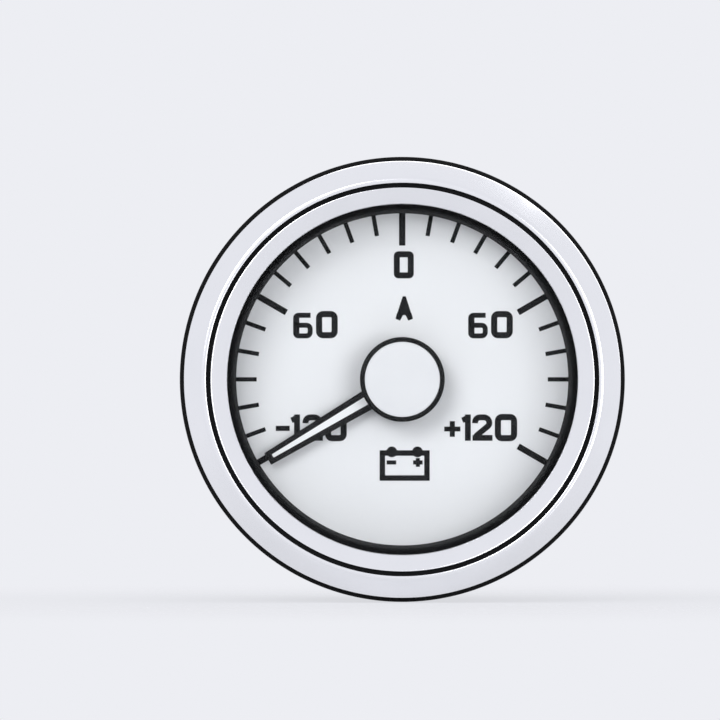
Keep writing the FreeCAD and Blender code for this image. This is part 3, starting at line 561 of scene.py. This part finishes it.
# Spacer turned from a profile whose bore opens a little to the front, where its corner is rounded.
def makeDialRing(v):
    profile = roundedPath([
        (v["frontR"], v["front"], v["frontEdge"]), (v["outerR"], v["front"], 0),
        (v["outerR"], v["back"], 0), (v["boreR"], v["back"], 0),
    ], True, steps=8)
    makePiece("dial_spacer", [turnedShape(profile, v["segments"])], [sprayedBlack], "root",
              crispDeg=40, replaced=("dial_ring",))


makeDialRing(ringValues)

capValues = {"radius": 5.77, "rim": 0.65, "outerEdge": 0.3, "innerEdge": 0.08, "front": -2.8, "recess": 0.5,
             "back": 0.1, "hubR": 1.8, "hubFront": -1.35, "discT": 0.4, "discEdge": 0.06, "segments": 192}


# Cap with a rounded rim and a shallow bed, and the disc that lies in the bed. Both are turned about the axis.
def makeHubCap(v):
    bedR = v["radius"] - v["rim"]
    bed = v["front"] + v["recess"]
    cap = roundedPath([
        (0, bed, 0), (bedR, bed, 0),
        (bedR, v["front"], v["innerEdge"]), (v["radius"], v["front"], v["outerEdge"]),
        (v["radius"], v["back"], 0), (v["hubR"], v["back"], 0),
        (v["hubR"], v["hubFront"], 0), (0, v["hubFront"], 0),
    ], False, steps=8)
    makePiece("hub_cap_shown", [turnedShape(cap, v["segments"], closed=False)], [polishedAbs], "pointer_unit",
              crispDeg=40, replaced=("hub_cap",))
    disc = roundedPath([
        (0, bed - v["discT"], 0), (bedR, bed - v["discT"], v["discEdge"]), (bedR, bed, 0), (0, bed, 0),
    ], False, steps=5)
    makePiece("cap_disc_shown", [turnedShape(disc, v["segments"], closed=False)], [shadedDiscPaint], "pointer_unit",
              crispDeg=40, replaced=("cap_disc",))


makeHubCap(capValues)

pointerValues = {"restDeg": -120.6, "front": 0.1, "back": 0.6, "eyeR": 3.6, "boreR": 1.8, "eyeThinner": 0.01,
                 "bladeFrom": 3.5, "bladeTo": 21.3, "bladeWidths": (2.95, 1.84), "edge": 0.03,
                 "stripFrom": 5.7, "stripTo": 20.5, "stripWidths": (1.12, 0.5), "stripProud": 0.03,
                 "stripSunk": 0.004, "segments": 96}


# Blade that tapers from the eye round the hub to a squared tip, with a strip of filler on it. Both run
# straight out from the axis: x and z are the distance times sine and cosine of the rest angle, just past the
# scale's low end.
def makePointer(v):
    turn = math.radians(v["restDeg"])
    outward = np.array([math.sin(turn), math.cos(turn)])
    eyeFront = v["front"] + v["eyeThinner"]
    eyeBack = v["back"] - v["eyeThinner"]
    eye = np.array([(v["boreR"], eyeFront), (v["eyeR"], eyeFront),
                    (v["eyeR"], eyeBack), (v["boreR"], eyeBack)])
    blade = np.array([[v["bladeFrom"]], [v["bladeTo"]]]) * outward
    shapes = [turnedShape(eye, v["segments"]),
              lineShape(blade, v["bladeWidths"], v["front"], v["back"], False)]
    makePiece("pointer_blade", shapes, [pointerLacquer], "pointer_unit", crispDeg=28,
              replaced=("pointer",), edgeMm=v["edge"])
    strip = np.array([[v["stripFrom"]], [v["stripTo"]]]) * outward
    proud = v["front"] - v["stripProud"]
    sunk = v["front"] + v["stripSunk"]
    makePiece("pointer_strip", [lineShape(strip, v["stripWidths"], proud, sunk, False)], [fillerPaint],
              "pointer_unit", crispDeg=28, replaced=("pointer_inlay",))


makePointer(pointerValues)
print("front rings, glass, cap and pointer made")

# Print on the dial: marks, figures, ampere sign and battery symbol

printValues = {"front": 1.95, "back": 2.004, "layerStep": 0.004}


# A printed line. Each later layer of a sign lies a hair lower, so that no two of its faces share one plane.
def printedLine(path, width, closed, layer=0):
    v = printValues
    return lineShape(path, width, v["front"] + v["layerStep"] * layer, v["back"], closed)


markValues = {"steps": 24, "spanDeg": 240.0, "longEvery": 6, "outer": 22.68, "longInner": 18.25,
              "shortInner": 19.85, "longWidth": 0.85, "shortWidth": 0.58}


# One stroke for each step of the scale, straight out from the axis, that ends under the black ring. Its angle
# from the top is the span times the step's share of the scale less a half. Every sixth stroke is larger.
def makeScaleMarks(v):
    shapes = []
    for step in range(v["steps"] + 1):
        isLong = step % v["longEvery"] == 0
        inner = v["longInner"] if isLong else v["shortInner"]
        width = v["longWidth"] if isLong else v["shortWidth"]
        turn = math.radians(v["spanDeg"] * (step / v["steps"] - 0.5))
        path = np.array([[inner], [v["outer"]]]) * np.array([math.sin(turn), math.cos(turn)])
        shapes.append(printedLine(path, width, False))
    makePiece("printed_marks", shapes, [printedInk], "root", replaced=("scale_marks",))


makeScaleMarks(markValues)

# Strokes of each figure about its middle: whether closed, the width, and corners (x, z, rounding).
figureStrokes = {
    "0": [(True, 0.84, [(-1.06, 1.44, 0.55), (1.06, 1.44, 0.55), (1.06, -1.44, 0.55), (-1.06, -1.44, 0.55)])],
    "topZero": [(True, 0.82, [(-0.95, 1.44, 0.25), (0.95, 1.44, 0.25), (0.95, -1.44, 0.25),
                              (-0.95, -1.44, 0.25)])],
    "6": [(False, 0.68, [(1.06, 1.34, 0), (-0.98, 1.34, 0.4), (-0.98, -1.47, 0.4), (1.0, -1.47, 0.5),
                         (1.0, -0.02, 0.5), (-0.98, -0.02, 0)]),
          (False, 0.5, [(-0.72, 1.3, 0), (-0.72, -1.4, 0)])],
    "2": [(False, 0.8, [(-1.0, 0.6, 0), (-0.97, 1.4, 0.66), (0.94, 1.4, 0.72), (0.94, 0.36, 0.55),
                        (-0.92, -1.2, 0)]),
          (False, 0.78, [(-1.34, -1.4, 0), (1.38, -1.4, 0)])],
    "1": [(False, 0.8, [(0.25, 1.79, 0), (0.25, -1.79, 0)]),
          (False, (0.84, 0.74), [(0.35, 1.34, 0), (-0.52, 1.0, 0)])],
    "+": [(False, 0.66, [(-1.1, 0, 0), (1.1, 0, 0)]),
          (False, 0.7, [(0, 1.07, 0), (0, -1.07, 0)])],
    "-": [(False, 0.7, [(-0.95, 0, 0), (0.95, 0, 0)])],
    "A": [(False, (0.42, 2.06), [(0, 1.62, 0), (0, -0.94, 0)]),
          (False, (0.86, 0.68), [(-0.58, -0.8, 0), (-0.88, -1.56, 0)]),
          (False, (0.86, 0.68), [(0.58, -0.8, 0), (0.88, -1.56, 0)])],
}
# Each figure's place on the dial (x, z) and how wide it is drawn.
figurePlaces = [
    ("topZero", 0.21, 15.62, 1.0), ("A", 0.27, 9.7, 1.0),
    ("6", -13.56, 7.4, 1.0), ("0", -10.28, 7.46, 1.0),
    ("6", 10.32, 7.4, 1.0), ("0", 13.6, 7.46, 1.0),
    ("-", -16.3, -6.68, 1.0), ("1", -14.6, -6.58, 1.0), ("2", -12.2, -6.58, 1.0), ("0", -9.05, -6.58, 1.0),
    ("+", 6.83, -6.77, 1.0), ("1", 8.7, -6.58, 1.0), ("2", 10.93, -6.58, 1.0), ("0", 14.15, -6.58, 1.04),
]


# Each stroke is a printed line along its rounded corners, stretched sideways and moved to the figure's place.
def makeFigures(places, strokes):
    shapes = []
    for sign, x, z, stretch in places:
        for layer, (closed, width, corners) in enumerate(strokes[sign]):
            path = roundedPath([(a * stretch, b, rounding) for a, b, rounding in corners], closed, steps=8)
            shapes.append(printedLine(path + np.array([x, z]), width, closed, layer))
    makePiece("printed_figures", shapes, [printedInk], "root")


makeFigures(figurePlaces, figureStrokes)

batteryValues = {"middle": (0.33, -11.75), "width": 6.82, "height": 4.15, "line": 0.74,
                 "signX": 1.8, "signZ": 0.42, "signWidth": 1.3, "signHeight": 1.2, "signLine": 0.56,
                 "postX": 1.75, "postR": 0.74, "postDip": 0.22, "postLayer": 6, "postSegments": 32}


# Box outline with the two polarity signs inside, and two round posts half sunk in its top line. A post is
# turned about its own middle: out to its rim in front, and back in behind.
def makeBattery(v):
    middle = np.array(v["middle"])
    halfX = (v["width"] - v["line"]) / 2
    halfZ = (v["height"] - v["line"]) / 2
    box = [(-halfX, halfZ, 0), (halfX, halfZ, 0), (halfX, -halfZ, 0), (-halfX, -halfZ, 0)]
    lines = [(True, v["line"], box)]
    x, z = v["signX"], v["signZ"]
    reachX, reachZ = v["signWidth"] / 2, v["signHeight"] / 2
    for signX in (-x, x):
        lines.append((False, v["signLine"], [(signX - reachX, z, 0), (signX + reachX, z, 0)]))
    lines.append((False, v["signLine"], [(x, z - reachZ, 0), (x, z + reachZ, 0)]))
    shapes = []
    for layer, (closed, width, corners) in enumerate(lines):
        shapes.append(printedLine(roundedPath(corners, closed) + middle, width, closed, layer))
    front = printValues["front"] + printValues["layerStep"] * v["postLayer"]
    back = printValues["back"]
    post = np.array([(0, front), (v["postR"], front), (v["postR"], back), (0, back)])
    for side in (-1, 1):
        centre = (middle[0] + side * v["postX"], middle[1] + v["height"] / 2 - v["postDip"])
        shapes.append(turnedShape(post, v["postSegments"], centre, closed=False))
    makePiece("printed_battery", shapes, [printedInk], "root")


makeBattery(batteryValues)
print("print on the dial made")

# Back: threaded studs, knurled nuts and the signs moulded in the case

# In across are the shares of one pitch at which the thread's profile bends, and in fall how far it has fallen
# there, as shares of the depth.
threadValues = {"crestR": 2.0, "depth": 0.43, "pitch": 0.7, "stepsPerTurn": 36, "shankSegments": 48,
                "across": (0.0, 0.1, 0.42, 0.58, 0.9, 1.0), "fall": (0.0, 0.0, 1.0, 1.0, 0.0, 0.0)}
terminalValues = {"x": 9.0, "z": 13.5, "headStart": 20.45, "boardFront": 22.25, "shoulderR": 2.2,
                  "shoulderEnd": 42.0, "threadEnd": 56.0, "chamfer": 0.5, "headFlats": 6.2}


# Stud with a hexagon head before the board, a shoulder through the pillar and a thread from the case's back.
# The head's corners lie at the width across its flats / root of three.
def makeTerminalStuds(v):
    headR = v["headFlats"] / math.sqrt(3)
    head = np.array([(0, v["headStart"]), (headR, v["headStart"]),
                     (headR, v["boardFront"]), (0, v["boardFront"])])
    shoulder = np.array([(0, v["boardFront"]), (v["shoulderR"], v["boardFront"]),
                         (v["shoulderR"], v["shoulderEnd"]), (0, v["shoulderEnd"])])
    shapes = []
    for side in (-1, 1):
        centre = (side * v["x"], v["z"])
        shapes.append(turnedShape(head, 6, centre, closed=False, firstDeg=30.0))
        shapes.append(turnedShape(shoulder, threadValues["shankSegments"], centre, closed=False))
        shapes.append(threadShape(threadValues, v["shoulderEnd"], v["threadEnd"], centre, v["chamfer"]))
    makePiece("terminal_studs_threaded", shapes, [nickelPlate], "root", crispDeg=40,
              replaced=("terminal_studs",))


makeTerminalStuds(terminalValues)

clampStudValues = {"x": 17.0, "start": 34.0, "anchorR": 2.8, "anchorEnd": 36.0, "caseBack": 42.0, "end": 62.0,
                   "chamfer": 0.5}


# Anchor in the case's boss, plain shank to the case's back and a thread to the end, all turned about the
# stud's line.
def makeClampStuds(v):
    shankR = threadValues["crestR"]
    shank = np.array([(0, v["start"]), (v["anchorR"], v["start"]), (v["anchorR"], v["anchorEnd"]),
                      (shankR, v["anchorEnd"]), (shankR, v["caseBack"]), (0, v["caseBack"])])
    shapes = []
    for side in (-1, 1):
        centre = (side * v["x"], 0)
        shapes.append(turnedShape(shank, threadValues["shankSegments"], centre, closed=False))
        shapes.append(threadShape(threadValues, v["caseBack"], v["end"], centre, v["chamfer"]))
    makePiece("clamp_studs_threaded", shapes, [zincBarrel], "root", crispDeg=40,
              replaced=("clamp_studs",))


makeClampStuds(clampStudValues)

thumbValues = {"x": 17.0, "start": 51.85, "end": 57.85, "outerR": 5.5, "chamfer": 0.7, "teeth": 24,
               "toothDepth": 0.45, "toothPower": 0.7, "pointsPerTooth": 10, "chamferRows": 8, "flankRows": 4,
               "boreR": 2.05, "boreEdge": 0.35, "dishRadii": (4.3, 4.05, 3.6), "dishDepth": 0.25}


# Knurled nut: the radius follows a rounded wave of one period a tooth and is held under a cone at both
# chamfers. The end faces run in to a bore, with a shallow dish turned into the outer one.
def makeThumbNut(v, side, node, body):
    thick = v["end"] - v["start"]
    chamfer = v["chamfer"]
    angle = np.linspace(0, 2 * math.pi, v["teeth"] * v["pointsPerTooth"], endpoint=False)[None, :]
    along = np.concatenate([
        np.linspace(0, chamfer, v["chamferRows"]),
        np.linspace(chamfer, thick - chamfer, v["flankRows"])[1:],
        np.linspace(thick - chamfer, thick, v["chamferRows"])[1:],
    ])[:, None]
    wave = 0.5 + 0.5 * np.cos(v["teeth"] * angle)
    teeth = v["outerR"] - v["toothDepth"] * (1 - wave ** v["toothPower"])
    outside = np.minimum(teeth, v["outerR"] - chamfer + np.minimum(along, thick - along))
    bore, edge, dish = v["boreR"], v["boreEdge"], v["dishDepth"]
    inside = np.array([*v["dishRadii"], bore + edge, bore, bore, bore + edge])[:, None]
    insideY = v["end"] - np.array([0, dish, dish, dish, dish + edge, thick - edge, thick])[:, None]
    radius = np.vstack([outside, inside + 0 * angle])
    y = np.vstack([v["start"] + along, insideY]) + 0 * angle
    points = np.stack([side * v["x"] + radius * np.cos(angle), y, radius * np.sin(angle)], -1).reshape(-1, 3)
    faces = facingOut(points, gridFaces(radius.shape[0], radius.shape[1], True, True))
    makePiece(node + "_knurled", [(points, faces)], [nickelPlate], body, crispDeg=30,
              replaced=(node,))


makeThumbNut(thumbValues, -1, "thumb_nut_left", "nut_left")
makeThumbNut(thumbValues, 1, "thumb_nut_right", "nut_right")

signValues = {"x": 17.2, "z": 14.2, "size": 3.0, "line": 0.75, "front": 41.9, "back": 42.4,
              "layerStep": 0.004}


# Polarity of the shunt leads, raised in the moulding beside the two studs: a plus on one side, a minus on the
# other. Each stroke stands a hair lower than the last, so that no two of their faces share one plane.
def makeMouldedSigns(v):
    x, z, half = v["x"], v["z"], v["size"] / 2
    lines = [[(x - half, z), (x + half, z)], [(x, z - half), (x, z + half)], [(-x - half, z), (-x + half, z)]]
    shapes = []
    for layer, ends in enumerate(lines):
        back = v["back"] - v["layerStep"] * layer
        shapes.append(lineShape(np.array(ends), v["line"], v["front"], back, False))
    makePiece("moulded_signs", shapes, [grainedNylon], "root")


makeMouldedSigns(signValues)
print("studs, knurled nuts and moulded signs made")

# The other nodes keep their own shape. For each: finish, slot, body, and how far its sharp edges are rounded.
keptShapes = {
    "case": (grainedNylon, "black_plastic", "root", 0),
    "lens_gasket": (mouldedRubber, "seal_rubber", "root", 0),
    "dial": (stoveEnamel, "dial_paint", "root", 0),
    "pointer_hub": (turnedBrass, "brass", "pointer_unit", 0),
    "spindle": (groundSteel, "bright_steel", "pointer_unit", 0),
    "rotor_magnet": (sinteredFerrite, "magnet", "pointer_unit", 0),
    "return_magnet": (sinteredFerrite, "magnet", "root", 0),
    "bobbin_front": (naturalNylon, "nylon", "root", 0),
    "bobbin_rear": (naturalNylon, "nylon", "root", 0),
    "bobbin_pins": (tinPlate, "tinned_brass", "root", 0),
    "coil_inner": (copperAcrossX, "copper_wire", "root", 0),
    "coil_outer": (copperAcrossZ, "copper_wire", "root", 0),
    "movement_shield": (zincPlate, "zinc_steel", "root", 0),
    "light_carrier": (whiteCarbonate, "white_plastic", "root", 0),
    "circuit_board": (solderMask, "board", "root", 0),
    "driver_chip": (mouldedEpoxy, "black_plastic", "root", 0),
    "resistors": (cementCoat, "resistor", "root", 0),
    "capacitor": (shrunkSleeve, "capacitor", "root", 0),
    "terminal_washers": (zincBarrel, "zinc_steel", "root", 0.08),
    "terminal_nuts": (zincBarrel, "zinc_steel", "root", 0.06),
    "blade_terminals": (tinPlate, "tinned_brass", "root", 0.08),
    "lamp_holder": (holderNylon, "holder_plastic", "lamp_unit", 0.25),
    "lamp_bulb": (bulbGlass, "glass", "lamp_unit", 0),
    "clamp_bracket": (zincPlate, "zinc_steel", "clamp", 0.18),
    "clamp_washers": (zincBarrel, "zinc_steel", "clamp", 0.08),
}
for node, (finish, slotName, body, edgeMm) in keptShapes.items():
    smoothTwin(node, finish, body, edgeMm)
print("nodes dressed:", len(keptShapes))

# Floor, light and camera

stageValues = {"floorZ": -0.0304, "radius": 0.7, "rimPoints": 96, "paper": "#EDEEF3", "shade": "#E8E9EE",
               "grainMm": 3.0, "glow": 0.78, "fadeFrom": 0.03, "fadeTo": 0.14, "worldLight": 0.62}


# One for what is looked at, straight or in a mirror or glass, and zero for the rays that only carry light.
def seenRays(tree):
    path = addNode(tree, "ShaderNodeLightPath")
    mirrored = addNode(tree, "ShaderNodeMath", {"operation": "MAXIMUM"},
                       {0: path.outputs["Is Camera Ray"], 1: path.outputs["Is Glossy Ray"]})
    return addNode(tree, "ShaderNodeMath", {"operation": "MAXIMUM"},
                   {0: mirrored.outputs[0], 1: path.outputs["Is Transmission Ray"]})


# Round floor that fades out into the background and keeps the shadow near the object. From below it is clear.
def makeFloor(v):
    material, tree, output = blankMaterial("paleFloorPaper")
    place = addNode(tree, "ShaderNodeTexCoord")
    away = addNode(tree, "ShaderNodeVectorMath", {"operation": "LENGTH"}, {0: place.outputs["Object"]})
    fade = addNode(tree, "ShaderNodeMapRange",
                   {"interpolation_type": "SMOOTHSTEP", "From Min": v["fadeFrom"], "From Max": v["fadeTo"]},
                   {"Value": away.outputs["Value"]})
    grain = addNode(tree, "ShaderNodeTexNoise", {"Scale": perSize(v["grainMm"]), "Detail": 2.0},
                    {"Vector": place.outputs["Object"]})
    colour = addNode(tree, "ShaderNodeMix",
                     {"data_type": "RGBA", 6: toLinear(v["paper"]), 7: toLinear(v["shade"])},
                     {0: grain.outputs[0]})
    matt = addNode(tree, "ShaderNodeBsdfDiffuse", {}, {"Color": colour.outputs[2]})
    glow = addNode(tree, "ShaderNodeEmission", {"Color": toLinear(v["paper"]), "Strength": 1.0})
    share = addNode(tree, "ShaderNodeMath", {"operation": "MULTIPLY", 1: v["glow"]},
                    {0: seenRays(tree).outputs[0]})
    lit = addNode(tree, "ShaderNodeMixShader", {},
                  {0: share.outputs[0], 1: matt.outputs[0], 2: glow.outputs[0]})
    clear = addNode(tree, "ShaderNodeBsdfTransparent")
    side = addNode(tree, "ShaderNodeNewGeometry")
    gone = addNode(tree, "ShaderNodeMath", {"operation": "MAXIMUM"},
                   {0: fade.outputs[0], 1: side.outputs["Backfacing"]})
    faded = addNode(tree, "ShaderNodeMixShader", {},
                    {0: gone.outputs[0], 1: lit.outputs[0], 2: clear.outputs[0]})
    tree.links.new(faded.outputs[0], output.inputs[0])
    angle = np.linspace(0, 2 * math.pi, v["rimPoints"], endpoint=False)
    points = np.stack([v["radius"] * np.cos(angle), v["radius"] * np.sin(angle), 0 * angle + v["floorZ"]], -1)
    mesh = bpy.data.meshes.new("floor")
    mesh.from_pydata(points.tolist(), [], [list(range(v["rimPoints"]))])
    mesh.materials.append(material)
    floor = bpy.data.objects.new("floor", mesh)
    bpy.context.scene.collection.objects.link(floor)


makeFloor(stageValues)


# The world lights evenly, and is seen as pale paper.
def makeWorld(v):
    world = bpy.data.worlds.new("studio")
    bpy.context.scene.world = world
    world.use_nodes = True
    tree = world.node_tree
    tree.nodes.clear()
    output = addNode(tree, "ShaderNodeOutputWorld")
    light = addNode(tree, "ShaderNodeBackground",
                    {"Color": (1.0, 1.0, 1.0, 1.0), "Strength": v["worldLight"]})
    paper = addNode(tree, "ShaderNodeBackground", {"Color": toLinear(v["paper"]), "Strength": 1.0})
    mixed = addNode(tree, "ShaderNodeMixShader", {},
                    {0: seenRays(tree).outputs[0], 1: light.outputs[0], 2: paper.outputs[0]})
    tree.links.new(mixed.outputs[0], output.inputs[0])


makeWorld(stageValues)

lampValues = {
    "key": {"at": (-0.55, -1.35, 0.6), "size": 0.75, "watts": 8.4},
    "fill": {"at": (0.7, -1.3, 0.05), "size": 0.75, "watts": 5.8},
    "back": {"at": (0.25, 1.45, 0.5), "size": 1.0, "watts": 5.4},
}


# Square soft lamps, each turned to the object. The two in front stand off the axis, so that the flat glass
# doesn't mirror them to the camera.
def makeLamps(values):
    for name, v in values.items():
        data = bpy.data.lights.new(name + "Lamp", "AREA")
        data.shape = "SQUARE"
        data.size = v["size"]
        data.energy = v["watts"]
        lamp = bpy.data.objects.new(name + "Lamp", data)
        lamp.location = v["at"]
        lamp.rotation_mode = "QUATERNION"
        lamp.rotation_quaternion = (-lamp.location).to_track_quat("-Z", "Y")
        bpy.context.scene.collection.objects.link(lamp)


makeLamps(lampValues)

cameraValues = {"distance": 1.5, "frameWidth": 0.09809, "x": -0.00576, "z": 0.00264, "sensorMm": 36,
                "clip": (0.01, 20)}


# Straight at the dial from far off. The frame's width at the panel's plane sets the lens: it is to the
# distance as the sensor's width is to the lens.
def makeCamera(v):
    data = bpy.data.cameras.new("camera")
    data.sensor_width = v["sensorMm"]
    data.lens = v["sensorMm"] * v["distance"] / v["frameWidth"]
    data.clip_start, data.clip_end = v["clip"]
    camera = bpy.data.objects.new("camera", data)
    camera.location = (v["x"], -v["distance"], v["z"])
    camera.rotation_euler = (math.radians(90), 0, 0)
    bpy.context.scene.collection.objects.link(camera)
    bpy.context.scene.camera = camera


makeCamera(cameraValues)
bpy.context.scene.view_settings.view_transform = "Standard"
print("stage, lamps and camera made")
